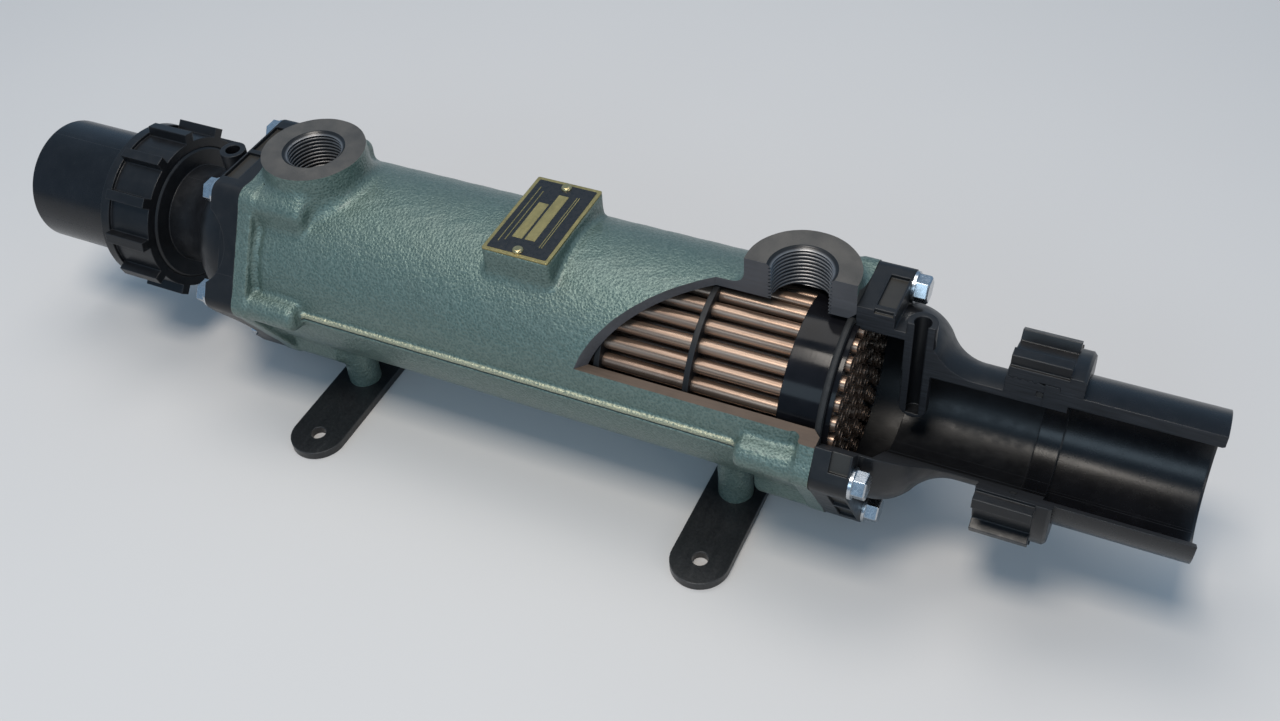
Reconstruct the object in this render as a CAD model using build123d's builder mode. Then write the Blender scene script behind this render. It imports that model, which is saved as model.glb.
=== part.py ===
from build123d import *
from math import cos, pi, radians, sin, sqrt
import os

os.makedirs("parts", exist_ok=True)

# A sectioned shell-and-tube water heater on two foot straps, in millimetres.
# Origin: on the floor, under the middle of the tube axis. +X runs along the tubes, +Z is up.
# side is -1 for the whole end and +1 for the end that is cut open for display.

AXIS_H = 83.0            # height of the tube axis above the floor
TUBE_AXIS = Axis((0, 0, AXIS_H), (1, 0, 0))

# casting
CASTING_HALF = 172.0     # the machined end faces
SHELL_R = 56.4
SHELL_BORE_R = 51.0
BORE_CHAMFER = 4.0       # seat for the tube plate's seal at each end of the bore
FLANGE_R = 69.5          # hexagon, across its corners
FLANGE_CORNER = 8.0
FLANGE_T = 9.0
BOSS_X = 142.9           # threaded side ports
BOSS_R = 29.1
BOSS_TOP = 72.9          # above the tube axis
BOSS_BLEND = 7.0
PORT_MAJOR_R = 16.62     # one-inch pipe thread
PORT_MINOR_R = 15.15
PORT_PITCH = 2.309
PORT_TURNS = 10
PORT_CHAMFER = 2.0       # round the mouth, half of it above the thread's crests
PORT_THREAD_IN = 1.5     # the first thread ring starts this far below the mouth
PORT_BOTTOM = 40.0       # above the tube axis, inside the water space
PAD_SIZE = (39.5, 65.0)
PAD_TOP = 62.5           # above the tube axis
PAD_BASE = 30.0
PAD_CORNER = 2.5
RIB_W = 4.0
RIB_DEPTH = 4.0
RIB_OUT_R = 58.2
RIB_INSET = 2.0          # short of each end face
FOOT_R = 9.8
FOOT_L = 45.0            # from the strap into the barrel wall
FOOT_PITCH = (246.0, 48.0)
STRAP_MID_X = -6.5       # the pair of straps sits a little towards the left end
SHRINK = 0.02            # keeps a solid just clear of the hole it sits in

# end cover bolts, M8 with a hexagon flange head
BOLT_CIRCLE_R = 59.5
BOLT_R = 4.0
BOLT_GRIP = 24.0         # length inside the casting
BOLT_HEAD_R = 8.2
BOLT_HEAD_T = 1.9
BOLT_HEX_FLATS = 12.6
BOLT_HEX_T = 6.6
BOLT_BOSS_R = 8.4
BOLT_BOSS_L = 32.0       # without its round end
BOLT_BOSS_DRAW = 20.0    # the upper and lower bosses run straight into the barrel
BOLT_CHAMFER = 0.8
BOLT_CLEARANCE = 0.5     # in the cover's holes
TAPPED_EXTRA = 3.0       # tapped holes run on past the bolts
FRONT_TOP_BOLT = 2       # position on the bolt circle that the section removes
BOLT_FIT = 0.06

# tube stack
TUBE_R = 3.97            # five-sixteenths tube
TUBE_WALL = 0.9
TUBE_HALF = 176.4
TUBE_RINGS = ((10.5, 6, 47.0), (21.0, 12, 15.0), (31.5, 19, 9.4), (42.0, 26, 6.9))  # radius, count, turn
PLATE_R = 47.6
PLATE_IN = 147.0
PLATE_OUT = 174.0
PLATE_GAP = 0.2          # from the tube plate to the cover's seat
BAFFLE_R = 49.6
BAFFLE_T = 3.0
BAFFLE_PITCH = 49.5
BAFFLE_CUT = 27.0        # the open segment starts this far from the axis
TUBE_FIT = 0.05
PLATE_SEAL_SECTION = 2.15

# end cover
COVER_T = 19.0
DOME_R = 50.9
DOME_X = 194.0
DOME_ARC = 24.0
NECK_ARC = 24.0
NECK_R = 30.0
NECK_BORE_R = 26.0
CHAMBER_R = 46.2
CHAMBER_X = 196.6
COLLAR_X = 246.0
UNION_X = 264.5          # the face where cover and tail meet
COLLAR_R = 40.9
UNION_PITCH = 3.6
UNION_THREAD = 1.3
THREAD_LEAD = 1.0        # plain length ahead of the first thread ring
RECESS_SIZE = (9.5, 23.5, 2.0)
RECESS_X = 185.3
RECESS_SHIFT = 13.25     # from the middle of a flat to the middle of each of its two recesses
RECESS_FLATS = {-1: (2, 90), 1: (6, 30)}  # count and first angle of the flats that have them
HOLLOW_FLATS = {-1: (30, 150, 210, 330), 1: ()}  # flats with a scallop between the bolts
HOLLOW_R = 26.5
HOLLOW_DEPTH = 11.0
HOLLOW_REACH = 30.0

# sensor pocket moulded into each cover
POCKET_X = 203.9
POCKET_R = 7.4
POCKET_BORE_R = 4.35
POCKET_TOP = 57.5        # above the tube axis
POCKET_BOTTOM = {-1: 1.5, 1: -5.5}
POCKET_FLOOR = 3.0

# union
UNION_SEAL_R = 33.5
UNION_SEAL_SECTION = 1.6
TAIL_FLANGE_T = 7.0
TAIL_FLANGE_R = 40.6
TAIL_R = 37.5
TAIL_END = 346.5
SOCKET_R = 30.15         # takes a 60.3 pipe
SOCKET_X = 276.5
SOCKET_CHAMFER = (1.2, 0.8)
NUT_IN = 247.0
NUT_OUT = 282.5
NUT_CHAMFER = 1.5
NUT_R = 46.6
NUT_RIM_R = 48.5
NUT_RIM_X = 275.0
LUG_R = 52.3
LUG_ROOT_R = 44.0
LUG_COUNT = 12
LUG_W = 6.0
NUT_TURN = {-1: 18.0, 1: 28.0}   # angle of the first grip lug from +Y
NUT_FIT = 0.08
NUT_GAP = 0.1            # between the nut's shoulder and the tail's flange

# foot straps
STRAP_W = 33.0
STRAP_T = 5.0
STRAP_HOLE_Y = 75.3
STRAP_HOLE_R = 4.5
SCREW_HEAD_R = 7.6
SCREW_HEAD_EDGE = 0.8    # height of the head's rim above the floor
SCREW_SUNK = 0.3         # the head's face stands this far above the floor
SCREW_L = 22.0
SCREW_HEX = (2.9, 3.0)   # socket: radius over its corners, depth

# nameplate
PLATE_SIZE = (38.4, 63.8)
PLATE_T = 0.9
PLATE_CORNER = 1.0
PIN_Y = 27.5
PIN_R = 1.5
PIN_L = 5.0
PIN_HOLE = 6.0
PIN_HEAD_R = 3.0
PIN_HEAD_T = 1.5
PIN_HEAD_ROUND = 1.3

# display section
SECTION_Y = -3.0
CASTING_CUT_H = 17.0     # level of the casting's horizontal cut, above the axis
WINDOW_START = (38.0, -56.0)
WINDOW_BULGE = (62.0, -32.5)
WINDOW_END = (99.0, SECTION_Y)
COVER_CUT_OUTER = (-58.2, 17.0)  # two points on the sloping cut of the plastic parts
COVER_CUT_INNER = (-20.3, -16.2)
CUT_LEDGE = 4.0          # rise from there to the foot of the upright cut
FAR = 120.0
PAST = 1.0               # how far a cutting shape reaches past the face that it cuts
SPARE = 20.0             # extra length that is cut away again


def across(x):
    """Plane across the tube axis at x: its own x is +Y and its own y is height above the axis."""
    return Plane((x, 0, AXIS_H), x_dir=(0, 1, 0), z_dir=(1, 0, 0))


SIDE_VIEW = Plane((0, 0, AXIS_H), x_dir=(1, 0, 0), z_dir=(0, -1, 0))


def level(height):
    """Horizontal plane at a height above the tube axis."""
    return Plane.XY.offset(AXIS_H + height)


def bolt_circle(skip=()):
    """Centres of the six cover bolts, in the axes of an across() plane."""
    places = []
    for n in range(6):
        angle = radians(60 * n)
        if n not in skip:
            places.append((BOLT_CIRCLE_R * cos(angle), BOLT_CIRCLE_R * sin(angle)))
    return places


def foot_places():
    """Centres of the four feet, seen from above."""
    half_x = FOOT_PITCH[0] / 2
    half_y = FOOT_PITCH[1] / 2
    return [(STRAP_MID_X + i * half_x, j * half_y) for i in (-1, 1) for j in (-1, 1)]


def tube_places():
    """Centres of the tubes: one on the axis and rings of them round it."""
    places = [(0, 0)]
    for ring_r, count, turn in TUBE_RINGS:
        for n in range(count):
            angle = radians(turn + 360 * n / count)
            places.append((ring_r * cos(angle), ring_r * sin(angle)))
    return places


def thread_outline(start, end, pitch, crest, root):
    """Points of a ring thread between two places: (place along the axis, radius)."""
    flat = pitch / 8
    turns = int(abs(end - start) / pitch)
    step = pitch if end > start else -pitch
    flat = flat if end > start else -flat
    points = []
    for n in range(turns):
        a = start + n * step
        points += [(a + flat, crest), (a + step / 2 - flat / 2, root)]
        points += [(a + step / 2 + flat / 2, root), (a + step - flat, crest)]
    return points


def screw_outline(x, gap, top):
    """Half outline of a countersunk screw with its flat head at floor level, in the side view."""
    shank = BOLT_R + gap
    head = SCREW_HEAD_R + gap
    low = SCREW_SUNK if gap == 0 else 0
    points = [(0, low), (head, low), (head, SCREW_HEAD_EDGE)]
    points += [(shank, SCREW_HEAD_EDGE + head - shank), (shank, top), (0, top)]
    return [(x + r, z - AXIS_H) for r, z in points]


# the open quarter of the plastic parts: an upright cut and a sloping one that meet in the bore
slope = (COVER_CUT_OUTER[1] - COVER_CUT_INNER[1]) / (COVER_CUT_OUTER[0] - COVER_CUT_INNER[0])
with BuildPart() as cover_cut:
    with BuildSketch(across(CASTING_HALF - PAST)):
        with BuildLine():
            Polyline(
                (SECTION_Y, FAR), (SECTION_Y, COVER_CUT_INNER[1] + CUT_LEDGE), COVER_CUT_INNER,
                (-FAR, COVER_CUT_INNER[1] - slope * (FAR + COVER_CUT_INNER[0])), (-FAR, FAR), close=True,
            )
        make_face()
    extrude(amount=TAIL_END + SPARE - CASTING_HALF)


# ---------------------------------------------------------------- shell casting
with BuildPart() as shell_casting:
    # barrel, longer than the finished casting so that the port blends run out past its ends
    with BuildSketch(across(-CASTING_HALF - SPARE)):
        Circle(SHELL_R)
    extrude(amount=2 * (CASTING_HALF + SPARE))
    with BuildSketch(level(0)):
        with Locations((-BOSS_X, 0), (BOSS_X, 0)):
            Circle(BOSS_R)
    extrude(amount=BOSS_TOP)
    seams = [e for e in shell_casting.edges() if e.geom_type not in (GeomType.LINE, GeomType.CIRCLE)]
    fillet(seams, BOSS_BLEND)
    for end in (-1, 1):
        with BuildSketch(across(end * CASTING_HALF)):
            Circle(FAR)
        extrude(amount=end * 2 * SPARE, mode=Mode.SUBTRACT)

    # nameplate pad, with rounded corners
    with BuildSketch(level(PAD_BASE)):
        RectangleRounded(*PAD_SIZE, PAD_CORNER)
    extrude(amount=PAD_TOP - PAD_BASE)

    # end flanges
    for end in (-1, 1):
        with BuildSketch(across(end * CASTING_HALF)) as flange:
            RegularPolygon(FLANGE_R, 6)
            fillet(flange.vertices(), FLANGE_CORNER)
        extrude(amount=-end * FLANGE_T)
        # bosses that carry the bolt threads, with round ends
        with BuildSketch(across(end * CASTING_HALF)):
            with Locations(*bolt_circle()):
                Circle(BOLT_BOSS_R)
            with Locations(*[(y, z - BOLT_BOSS_DRAW / 2) for y, z in bolt_circle() if z > 1]):
                Rectangle(2 * BOLT_BOSS_R, BOLT_BOSS_DRAW)
            with Locations(*[(y, z + BOLT_BOSS_DRAW / 2) for y, z in bolt_circle() if z < -1]):
                Rectangle(2 * BOLT_BOSS_R, BOLT_BOSS_DRAW)
        extrude(amount=-end * BOLT_BOSS_L)
        for y, z in bolt_circle():
            with Locations((end * (CASTING_HALF - BOLT_BOSS_L), y, AXIS_H + z)):
                Sphere(BOLT_BOSS_R)

    # parting-line ribs along the front and the back
    with BuildSketch(across(RIB_INSET - CASTING_HALF)):
        with Locations((RIB_DEPTH / 2 - RIB_OUT_R, RIB_W / 2), (RIB_OUT_R - RIB_DEPTH / 2, RIB_W / 2)):
            Rectangle(RIB_DEPTH, RIB_W)
    extrude(amount=2 * (CASTING_HALF - RIB_INSET))

    # feet
    with BuildSketch(level(STRAP_T - AXIS_H)):
        with Locations(*foot_places()):
            Circle(FOOT_R)
    extrude(amount=FOOT_L)

    # water space
    with BuildSketch(across(-CASTING_HALF)):
        Circle(SHELL_BORE_R)
    extrude(amount=2 * CASTING_HALF, mode=Mode.SUBTRACT)
    for end in (-1, 1):
        with BuildSketch(SIDE_VIEW):
            with BuildLine():
                face_x = end * (CASTING_HALF + PAST)
                mouth_r = SHELL_BORE_R + BORE_CHAMFER + PAST
                inner_x = end * (CASTING_HALF - BORE_CHAMFER)
                Polyline((inner_x, 0), (inner_x, SHELL_BORE_R), (face_x, mouth_r), (face_x, 0), close=True)
            make_face()
        revolve(axis=TUBE_AXIS, mode=Mode.SUBTRACT)

    # threaded side ports, with ring threads down to a plain length at the bottom
    thread_bottom = BOSS_TOP - PORT_PITCH * PORT_TURNS
    for port_x in (-BOSS_X, BOSS_X):
        with BuildSketch(SIDE_VIEW):
            with BuildLine():
                edge = [(BOSS_TOP + PAST, PORT_MAJOR_R + PORT_CHAMFER)]
                edge += [(BOSS_TOP + PAST - PORT_CHAMFER, PORT_MAJOR_R)]
                edge += thread_outline(
                    BOSS_TOP - PORT_THREAD_IN, thread_bottom, PORT_PITCH, PORT_MINOR_R, PORT_MAJOR_R
                )
                edge += [(PORT_BOTTOM, PORT_MINOR_R)]
                outline = [(port_x, BOSS_TOP + PAST)]
                outline += [(port_x + r, z) for z, r in edge]
                outline += [(port_x, PORT_BOTTOM)]
                Polyline(*outline, close=True)
            make_face()
        revolve(axis=Axis((port_x, 0, 0), (0, 0, 1)), mode=Mode.SUBTRACT)

    # tapped holes for the cover bolts and the strap screws
    for end in (-1, 1):
        with BuildSketch(across(end * CASTING_HALF)):
            with Locations(*bolt_circle()):
                Circle(BOLT_R + BOLT_FIT)
        extrude(amount=-end * (BOLT_GRIP + TAPPED_EXTRA), mode=Mode.SUBTRACT)
    with BuildSketch(level(STRAP_T - AXIS_H)):
        with Locations(*foot_places()):
            Circle(BOLT_R + BOLT_FIT)
    extrude(amount=SCREW_L, mode=Mode.SUBTRACT)
    with BuildSketch(level(PAD_TOP)):
        with Locations((0, -PIN_Y), (0, PIN_Y)):
            Circle(PIN_R + SHRINK)
    extrude(amount=-PIN_HOLE, mode=Mode.SUBTRACT)

    # display window: a curved upright cut, then a level cut
    with BuildSketch(level(CASTING_CUT_H)):
        with BuildLine():
            ThreePointArc(WINDOW_START, WINDOW_BULGE, WINDOW_END)
            Line(WINDOW_END, (2 * FAR, SECTION_Y))
            Line((2 * FAR, SECTION_Y), (2 * FAR, -FAR))
            Line((2 * FAR, -FAR), (WINDOW_START[0], -FAR))
            Line((WINDOW_START[0], -FAR), WINDOW_START)
        make_face()
    extrude(amount=FAR, mode=Mode.SUBTRACT)
shell_casting.part.label = "shell_casting"
export_step(shell_casting.part, "parts/shell_casting.step")


# ---------------------------------------------------------------- nameplate
with BuildPart() as nameplate:
    with BuildSketch(level(PAD_TOP)):
        RectangleRounded(*PLATE_SIZE, PLATE_CORNER)
        with Locations((0, -PIN_Y), (0, PIN_Y)):
            Circle(PIN_R + SHRINK, mode=Mode.SUBTRACT)
    extrude(amount=PLATE_T)
nameplate.part.label = "nameplate"
export_step(nameplate.part, "parts/nameplate.step")

with BuildPart() as nameplate_pins:
    with BuildSketch(level(PAD_TOP + PLATE_T)):
        with Locations((0, -PIN_Y), (0, PIN_Y)):
            Circle(PIN_R)
    extrude(amount=-PIN_L)
    with BuildSketch(level(PAD_TOP + PLATE_T)):
        with Locations((0, -PIN_Y), (0, PIN_Y)):
            Circle(PIN_HEAD_R)
    extrude(amount=PIN_HEAD_T)
    fillet(nameplate_pins.faces().group_by(Axis.Z)[-1].edges(), PIN_HEAD_ROUND)
nameplate_pins.part.label = "nameplate_pins"
export_step(nameplate_pins.part, "parts/nameplate_pins.step")


# ---------------------------------------------------------------- tube stack
with BuildPart() as tube_bundle:
    with BuildSketch(across(-TUBE_HALF)):
        with Locations(*tube_places()):
            Circle(TUBE_R)
            Circle(TUBE_R - TUBE_WALL, mode=Mode.SUBTRACT)
    extrude(amount=2 * TUBE_HALF)
tube_bundle.part.label = "tube_bundle"
export_step(tube_bundle.part, "parts/tube_bundle.step")

with BuildPart() as baffles:
    for n in range(-2, 3):
        with BuildSketch(across(n * BAFFLE_PITCH - BAFFLE_T / 2)):
            Circle(BAFFLE_R)
            open_side = -1 if n % 2 == 0 else 1
            with Locations((0, open_side * (BAFFLE_CUT + BAFFLE_R))):
                Rectangle(3 * BAFFLE_R, 2 * BAFFLE_R, mode=Mode.SUBTRACT)
            with Locations(*tube_places()):
                Circle(TUBE_R + TUBE_FIT, mode=Mode.SUBTRACT)
        extrude(amount=BAFFLE_T)
baffles.part.label = "baffles"
export_step(baffles.part, "parts/baffles.step")


def tube_plate(side, name):
    with BuildPart() as plate:
        with BuildSketch(across(side * PLATE_IN)):
            Circle(PLATE_R)
            with Locations(*tube_places()):
                Circle(TUBE_R + TUBE_FIT, mode=Mode.SUBTRACT)
        extrude(amount=side * (PLATE_OUT - PLATE_IN))
    plate.part.label = name
    export_step(plate.part, f"parts/{name}.step")


def ring_seal(x, ring_r, section_r, name):
    with BuildPart() as seal:
        with BuildSketch(SIDE_VIEW):
            with Locations((x, ring_r)):
                Circle(section_r)
        revolve(axis=TUBE_AXIS)
        if x > 0:
            add(cover_cut.part, mode=Mode.SUBTRACT)
    seal.part.label = name
    export_step(seal.part, f"parts/{name}.step")


# ---------------------------------------------------------------- end covers
def end_cover(side, name):
    with BuildPart() as cover:
        with BuildSketch(across(side * CASTING_HALF)) as flange:
            RegularPolygon(FLANGE_R, 6)
            fillet(flange.vertices(), FLANGE_CORNER)
        extrude(amount=side * COVER_T)

        # dome, neck and threaded collar
        rise = NECK_R + NECK_ARC - (DOME_R - DOME_ARC)
        reach = sqrt((DOME_ARC + NECK_ARC) ** 2 - rise**2)
        share = DOME_ARC / (DOME_ARC + NECK_ARC)
        touch = (DOME_X + share * reach, DOME_R - DOME_ARC + share * rise)
        neck_x = DOME_X + reach
        with BuildSketch(SIDE_VIEW):
            with BuildLine():
                Line((side * CASTING_HALF, 0), (side * CASTING_HALF, DOME_R))
                Line((side * CASTING_HALF, DOME_R), (side * DOME_X, DOME_R))
                RadiusArc((side * DOME_X, DOME_R), (side * touch[0], touch[1]), side * DOME_ARC)
                RadiusArc((side * touch[0], touch[1]), (side * neck_x, NECK_R), -side * NECK_ARC)
                Line((side * neck_x, NECK_R), (side * COLLAR_X, NECK_R))
                thread_root = COLLAR_R - UNION_THREAD
                collar = [(COLLAR_X, NECK_R), (COLLAR_X, thread_root)]
                collar += thread_outline(COLLAR_X + THREAD_LEAD, UNION_X, UNION_PITCH, COLLAR_R, thread_root)
                collar += [(UNION_X, thread_root), (UNION_X, 0)]
                Polyline(*[(side * x, r) for x, r in collar])
                Line((side * UNION_X, 0), (side * CASTING_HALF, 0))
            make_face()
        revolve(axis=TUBE_AXIS)

        # boss for the sensor pocket
        with BuildSketch(level(0)):
            with Locations((side * POCKET_X, 0)):
                Circle(POCKET_R)
        extrude(amount=POCKET_TOP)

        # seat for the tube plate, water chamber and neck bore
        with BuildSketch(SIDE_VIEW):
            with BuildLine():
                seat_r = PLATE_R + TUBE_FIT
                bore = [(CASTING_HALF, 0), (CASTING_HALF, seat_r), (PLATE_OUT + PLATE_GAP, seat_r)]
                bore += [(PLATE_OUT + PLATE_GAP, CHAMBER_R), (CHAMBER_X, CHAMBER_R)]
                bore += [(CHAMBER_X, NECK_BORE_R), (UNION_X, NECK_BORE_R), (UNION_X, 0)]
                Polyline(*[(side * x, r) for x, r in bore], close=True)
            make_face()
        revolve(axis=TUBE_AXIS, mode=Mode.SUBTRACT)

        # the pocket itself, a blind tube with a round end that hangs into the water
        bottom = POCKET_BOTTOM[side]
        round_end = bottom + POCKET_R
        with BuildSketch(level(round_end)):
            with Locations((side * POCKET_X, 0)):
                Circle(POCKET_R)
        extrude(amount=POCKET_TOP - round_end)
        with Locations((side * POCKET_X, 0, AXIS_H + round_end)):
            Sphere(POCKET_R)
        with BuildSketch(level(bottom + POCKET_FLOOR)):
            with Locations((side * POCKET_X, 0)):
                Circle(POCKET_BORE_R)
        extrude(amount=POCKET_TOP - bottom, mode=Mode.SUBTRACT)

        # groove for the union seal
        groove_r = UNION_SEAL_SECTION + TUBE_FIT
        with BuildSketch(across(side * UNION_X)):
            Circle(UNION_SEAL_R + groove_r)
            Circle(UNION_SEAL_R - groove_r, mode=Mode.SUBTRACT)
        extrude(amount=-side * 2 * groove_r, mode=Mode.SUBTRACT)

        # bolt holes, and pairs of moulded recesses in the flats of the flange
        with BuildSketch(across(side * CASTING_HALF)):
            with Locations(*bolt_circle()):
                Circle(BOLT_R + BOLT_CLEARANCE)
        extrude(amount=side * COVER_T, mode=Mode.SUBTRACT)
        width, length, depth = RECESS_SIZE
        count, first = RECESS_FLATS[side]
        flat_r = FLANGE_R * cos(pi / 6)
        with BuildSketch(across(side * (RECESS_X - width / 2))):
            with PolarLocations(flat_r, count, start_angle=first):
                with Locations((0, -RECESS_SHIFT), (0, RECESS_SHIFT)):
                    Rectangle(2 * depth, length)
        extrude(amount=side * width, mode=Mode.SUBTRACT)

        # scallops in the flange
        hollow_x = side * (CASTING_HALF + COVER_T + HOLLOW_R - HOLLOW_DEPTH)
        for turn in HOLLOW_FLATS[side]:
            out = (0, cos(radians(turn)), sin(radians(turn)))
            start = (hollow_x, DOME_R * out[1], AXIS_H + DOME_R * out[2])
            with BuildSketch(Plane(start, x_dir=(1, 0, 0), z_dir=out)):
                Circle(HOLLOW_R)
            extrude(amount=HOLLOW_REACH, mode=Mode.SUBTRACT)

        if side > 0:
            add(cover_cut.part, mode=Mode.SUBTRACT)
    cover.part.label = name
    export_step(cover.part, f"parts/{name}.step")


def cover_bolts(side, name):
    skip = (FRONT_TOP_BOLT,) if side > 0 else ()
    seat_x = side * (CASTING_HALF + COVER_T)
    with BuildPart() as bolts:
        with BuildSketch(across(side * (CASTING_HALF - BOLT_GRIP))):
            with Locations(*bolt_circle(skip)):
                Circle(BOLT_R)
        extrude(amount=side * (BOLT_GRIP + COVER_T))
        with BuildSketch(across(seat_x)):
            with Locations(*bolt_circle(skip)):
                Circle(BOLT_HEAD_R)
        extrude(amount=side * BOLT_HEAD_T)
        with BuildSketch(across(seat_x)):
            with Locations(*bolt_circle(skip)):
                RegularPolygon(BOLT_HEX_FLATS / 2, 6, major_radius=False)
        extrude(amount=side * (BOLT_HEAD_T + BOLT_HEX_T))
        tops = bolts.faces().filter_by(Axis.X).group_by(Axis.X)[-1 if side > 0 else 0]
        chamfer(tops.edges(), BOLT_CHAMFER)
    bolts.part.label = name
    export_step(bolts.part, f"parts/{name}.step")


# ---------------------------------------------------------------- unions
def union_tail(side, name):
    with BuildPart() as tail:
        start = UNION_X + SHRINK
        flange_end = UNION_X + TAIL_FLANGE_T
        with BuildSketch(SIDE_VIEW):
            with BuildLine():
                outline = [(start, NECK_BORE_R), (start, TAIL_FLANGE_R), (flange_end, TAIL_FLANGE_R)]
                outline += [(flange_end, TAIL_R), (TAIL_END, TAIL_R)]
                outline += [(TAIL_END, SOCKET_R + SOCKET_CHAMFER[1])]
                outline += [(TAIL_END - SOCKET_CHAMFER[0], SOCKET_R), (SOCKET_X, SOCKET_R)]
                outline += [(SOCKET_X, NECK_BORE_R)]
                Polyline(*[(side * x, r) for x, r in outline], close=True)
            make_face()
        revolve(axis=TUBE_AXIS)
        if side > 0:
            add(cover_cut.part, mode=Mode.SUBTRACT)
    tail.part.label = name
    export_step(tail.part, f"parts/{name}.step")


def union_nut(side, name):
    with BuildPart() as nut:
        with BuildSketch(SIDE_VIEW):
            with BuildLine():
                rim = [(NUT_IN, 0), (NUT_IN, NUT_R), (NUT_RIM_X, NUT_R), (NUT_RIM_X, NUT_RIM_R)]
                rim += [(NUT_OUT - NUT_CHAMFER, NUT_RIM_R), (NUT_OUT, NUT_RIM_R - NUT_CHAMFER), (NUT_OUT, 0)]
                Polyline(*[(side * x, r) for x, r in rim], close=True)
            make_face()
        revolve(axis=TUBE_AXIS)

        # grip lugs
        with BuildSketch(across(side * NUT_IN)):
            with PolarLocations((LUG_ROOT_R + LUG_R) / 2, LUG_COUNT, start_angle=NUT_TURN[side]):
                Rectangle(LUG_R - LUG_ROOT_R, LUG_W)
        extrude(amount=side * (NUT_RIM_X - NUT_IN))

        # bore: ring thread over the collar, room for the tail's flange, then a lip round the tail
        inner = COLLAR_R + NUT_FIT
        shoulder = UNION_X + TAIL_FLANGE_T + NUT_GAP
        with BuildSketch(SIDE_VIEW):
            with BuildLine():
                bore = [(NUT_IN - PAST, 0), (NUT_IN - PAST, inner)]
                bore += thread_outline(
                    COLLAR_X + THREAD_LEAD, UNION_X, UNION_PITCH, inner, inner - UNION_THREAD + NUT_FIT
                )
                bore += [(UNION_X, inner), (shoulder, inner), (shoulder, TAIL_R + NUT_FIT)]
                bore += [(NUT_OUT + PAST, TAIL_R + NUT_FIT), (NUT_OUT + PAST, 0)]
                Polyline(*[(side * x, r) for x, r in bore], close=True)
            make_face()
        revolve(axis=TUBE_AXIS, mode=Mode.SUBTRACT)
        if side > 0:
            add(cover_cut.part, mode=Mode.SUBTRACT)
    nut.part.label = name
    export_step(nut.part, f"parts/{name}.step")


# ---------------------------------------------------------------- foot straps
def mounting_strap(side, name):
    strap_x = STRAP_MID_X + side * FOOT_PITCH[0] / 2
    with BuildPart() as strap:
        with BuildSketch(Plane.XY):
            with Locations((strap_x, 0)):
                SlotOverall(2 * STRAP_HOLE_Y + STRAP_W, STRAP_W, rotation=90)
        extrude(amount=STRAP_T)
        with Locations((strap_x, -STRAP_HOLE_Y, STRAP_T), (strap_x, STRAP_HOLE_Y, STRAP_T)):
            Hole(STRAP_HOLE_R)
        # countersunk from below for the screws into the feet
        for y in (-FOOT_PITCH[1] / 2, FOOT_PITCH[1] / 2):
            with BuildSketch(SIDE_VIEW.offset(-y)):
                with BuildLine():
                    Polyline(*screw_outline(strap_x, TUBE_FIT, STRAP_T + PAST), close=True)
                make_face()
            revolve(axis=Axis((strap_x, y, 0), (0, 0, 1)), mode=Mode.SUBTRACT)
    strap.part.label = name
    export_step(strap.part, f"parts/{name}.step")


def strap_screws():
    with BuildPart() as screws:
        for x, y in foot_places():
            with BuildSketch(SIDE_VIEW.offset(-y)):
                with BuildLine():
                    Polyline(*screw_outline(x, 0, SCREW_L), close=True)
                make_face()
            revolve(axis=Axis((x, y, 0), (0, 0, 1)))
            with BuildSketch(Plane((x, y, 0))):
                RegularPolygon(SCREW_HEX[0], 6)
            extrude(amount=SCREW_HEX[1], mode=Mode.SUBTRACT)
    screws.part.label = "strap_screws"
    export_step(screws.part, "parts/strap_screws.step")


for end, word in ((-1, "left"), (1, "right")):
    tube_plate(end, f"tube_plate_{word}")
    seal_x = end * (CASTING_HALF - PLATE_SEAL_SECTION - SHRINK)
    ring_seal(seal_x, PLATE_R + PLATE_SEAL_SECTION + SHRINK, PLATE_SEAL_SECTION, f"tube_plate_seal_{word}")
    end_cover(end, f"end_cover_{word}")
    cover_bolts(end, f"cover_bolts_{word}")
    seal_x = end * (UNION_X - UNION_SEAL_SECTION - SHRINK)
    ring_seal(seal_x, UNION_SEAL_R, UNION_SEAL_SECTION, f"union_seal_{word}")
    union_tail(end, f"union_tail_{word}")
    union_nut(end, f"union_nut_{word}")
    mounting_strap(end, f"mounting_strap_{word}")
strap_screws()
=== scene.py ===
import math

import bmesh
import bpy
import numpy as np
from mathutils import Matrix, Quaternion, Vector


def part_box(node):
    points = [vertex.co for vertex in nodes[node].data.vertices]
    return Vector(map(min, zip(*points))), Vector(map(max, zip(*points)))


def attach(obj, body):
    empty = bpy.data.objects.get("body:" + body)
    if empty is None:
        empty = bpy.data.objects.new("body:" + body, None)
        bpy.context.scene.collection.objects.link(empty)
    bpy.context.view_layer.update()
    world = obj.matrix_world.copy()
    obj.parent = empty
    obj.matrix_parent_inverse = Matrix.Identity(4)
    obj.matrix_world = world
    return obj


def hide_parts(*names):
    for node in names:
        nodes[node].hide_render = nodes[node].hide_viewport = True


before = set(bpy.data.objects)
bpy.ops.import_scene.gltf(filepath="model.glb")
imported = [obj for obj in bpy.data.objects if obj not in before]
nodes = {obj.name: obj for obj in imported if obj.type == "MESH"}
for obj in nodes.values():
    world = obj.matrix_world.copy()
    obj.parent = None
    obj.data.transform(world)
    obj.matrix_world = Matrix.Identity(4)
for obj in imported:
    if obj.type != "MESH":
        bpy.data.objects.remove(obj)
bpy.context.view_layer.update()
scene = bpy.context.scene

MM = 0.001
AXIS_H = sum(corner.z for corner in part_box("union_tail_left")) / 2     # height of the tube axis, in metres

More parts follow.
